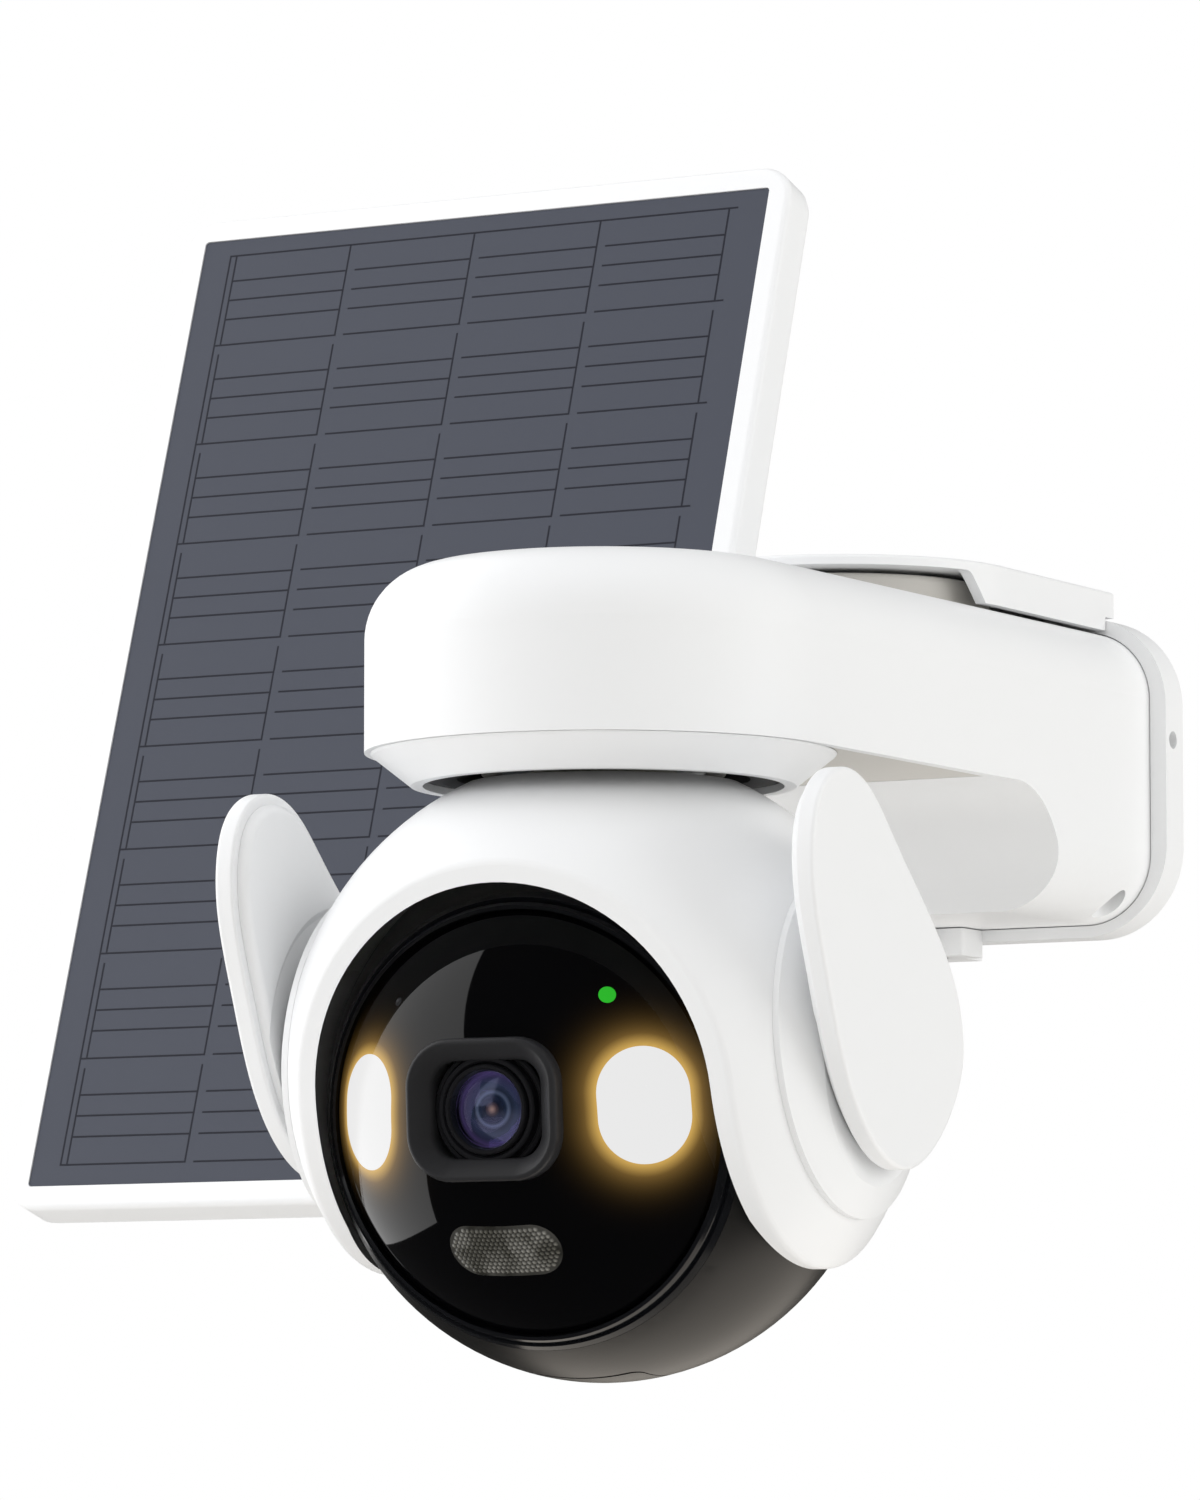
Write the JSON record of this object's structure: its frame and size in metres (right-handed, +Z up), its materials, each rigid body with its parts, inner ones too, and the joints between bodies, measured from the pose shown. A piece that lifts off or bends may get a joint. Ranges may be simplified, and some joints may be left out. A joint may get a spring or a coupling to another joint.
{
  "type": "solar-powered security camera",
  "caption": "Wall-bracket security camera: a pan and tilt ball camera in a hooded yoke with folding antennas, and a tilting solar panel on a side arm.",
  "frame": {"origin": "centre of the wall base's rear face, which lies on the wall", "axes": "+Y into the wall, so the object stands out towards -Y; +Z up; +X to the right as seen by someone facing the wall"},
  "size_m": [0.233, 0.208, 0.228],
  "materials": {
    "white_shell": "satin moulded polycarbonate",
    "grey_lining": "satin moulded plastic, light grey",
    "black_shell": "satin black moulded polycarbonate",
    "black_trim": "gloss black moulded plastic",
    "dark_window": "polished black polycarbonate window",
    "lens_glass": "coated lens glass",
    "spot_diffuser": "lit milky diffuser",
    "sensor_lens": "smoked faceted polyethylene lens",
    "status_green": "lit green light pipe",
    "rubber_dark": "soft black rubber",
    "rubber_grey": "light grey rubber flap",
    "steel": "zinc-plated steel",
    "bearing_steel": "ground steel",
    "acetal": "moulded acetal",
    "battery_wrap": "shrink-wrapped cell",
    "circuit": "solder-masked circuit board",
    "motor_can": "pressed metal can",
    "brass": "turned brass",
    "panel_glass": "satin laminate over the cells",
    "solar_cell": "monocrystalline silicon, dark blue grey",
    "knob_black": "textured black nylon"
  },
  "bodies": {
    "bracket": {"wall_base": "white_shell", "panel_arm": "white_shell", "mount_plate": "white_shell", "plate_screws": "steel", "bottom_lock_screw": "steel", "bracket_hood": "white_shell", "body_upper_shell": "white_shell", "body_lower_cover": "grey_lining", "body_rear_cover": "white_shell", "body_screws": "steel", "locating_hub": "grey_lining", "neck_ring": "white_shell", "neck_seal": "rubber_dark", "pan_bearing": "bearing_steel", "battery_cells": "battery_wrap", "power_board": "circuit", "charging_port": "steel", "pan_motor": "motor_can"},
    "port_flap": {"port_cover": "rubber_grey"},
    "pan_pinion": {"pan_pinion": "brass"},
    "yoke": {"yoke_shell": "white_shell", "pan_gear": "acetal", "slip_ring": "black_trim", "pivot_pins": "steel", "tilt_gear": "acetal", "side_discs": "white_shell"},
    "antenna_right": {"antenna_right_outer": "white_shell", "antenna_right_inner": "white_shell"},
    "antenna_left": {"antenna_left_outer": "white_shell", "antenna_left_inner": "white_shell"},
    "ball": {"ball_rear_shell": "black_shell", "front_bezel": "black_trim", "front_window": "dark_window", "spotlight_windows": "spot_diffuser", "spotlight_boards": "circuit", "motion_sensor_window": "sensor_lens", "status_light": "status_green", "lens_hood": "black_trim", "lens_barrel": "black_shell", "lens_glass": "lens_glass", "sensor_board": "circuit", "main_board": "circuit", "ball_chassis": "acetal", "speaker": "black_shell", "pivot_bushes": "brass", "tilt_motor": "motor_can", "memory_card": "black_shell"},
    "tilt_pinion": {"tilt_pinion": "brass"},
    "card_flap": {"card_cover": "black_shell"},
    "reset": {"reset_button": "black_trim"},
    "knuckle": {"panel_knuckle": "steel"},
    "panel": {"panel_frame": "white_shell", "panel_glass": "panel_glass", "solar_cells": "solar_cell", "panel_back": "white_shell", "junction_box": "black_shell", "panel_screws": "steel", "panel_fork": "steel", "hinge_bolt": "steel"},
    "knob": {"hinge_knob": "knob_black"}
  },
  "joints": [
    {"name": "pan", "type": "hinge", "parent": "bracket", "child": "yoke", "pos_m": [0, -0.162, -0.00575], "axis": [0, 0, 1], "range_deg": [-170, 170]},
    {"name": "pan_pinion_spin", "type": "hinge", "parent": "bracket", "child": "pan_pinion", "pos_m": [0, -0.1339, 0.00075], "axis": [0, 0, 1], "range_deg": [-630, 630]},
    {"name": "tilt", "type": "hinge", "parent": "yoke", "child": "ball", "pos_m": [0, -0.162, -0.06275], "axis": [0.9981, 0.061, 0], "range_deg": [-10, 72]},
    {"name": "tilt_pinion_spin", "type": "hinge", "parent": "ball", "child": "tilt_pinion", "pos_m": [0.02885, -0.1423, -0.06008], "axis": [0.9981, 0.061, 0], "range_deg": [-25, 150]},
    {"name": "antenna_right_swing", "type": "hinge", "parent": "yoke", "child": "antenna_right", "pos_m": [0.04991, -0.15895, -0.05405], "axis": [0.9981, 0.061, 0], "range_deg": [-32, 58]},
    {"name": "antenna_left_swing", "type": "hinge", "parent": "yoke", "child": "antenna_left", "pos_m": [-0.04991, -0.16505, -0.05405], "axis": [0.9981, 0.061, 0], "range_deg": [-32, 58]},
    {"name": "port_flap_open", "type": "hinge", "parent": "bracket", "child": "port_flap", "pos_m": [-0.02, -0.0523, -0.02615], "axis": [1, 0, 0], "range_deg": [0, 100]},
    {"name": "card_flap_open", "type": "hinge", "parent": "ball", "child": "card_flap", "pos_m": [-0.0003, -0.15715, -0.10778], "axis": [0.9981, 0.061, 0], "range_deg": [0, 100]},
    {"name": "reset_press", "type": "slide", "parent": "ball", "child": "reset", "axis": [0.009, -0.1475, 0.989], "range_m": [0, 0.0008], "stiffness_N_per_m": 400, "springref_m": -0.001},
    {"name": "panel_turn", "type": "hinge", "parent": "bracket", "child": "knuckle", "pos_m": [-0.1111, -0.0155, -0.00475], "axis": [0, 0, 1], "range_deg": [-40, 0]},
    {"name": "panel_tilt", "type": "hinge", "parent": "knuckle", "child": "panel", "pos_m": [-0.1111, -0.0155, 0.01325], "axis": [1, 0, 0], "range_deg": [-25, 20]},
    {"name": "knob_turn", "type": "hinge", "parent": "panel", "child": "knob", "pos_m": [-0.0971, -0.0155, 0.01325], "axis": [1, 0, 0], "range_deg": [-360, 0]}
  ],
  "couplings": [
    {"joint": "pan_pinion_spin", "follows": "pan", "ratio": -3.6667},
    {"joint": "tilt_pinion_spin", "follows": "tilt", "ratio": 2}
  ]
}
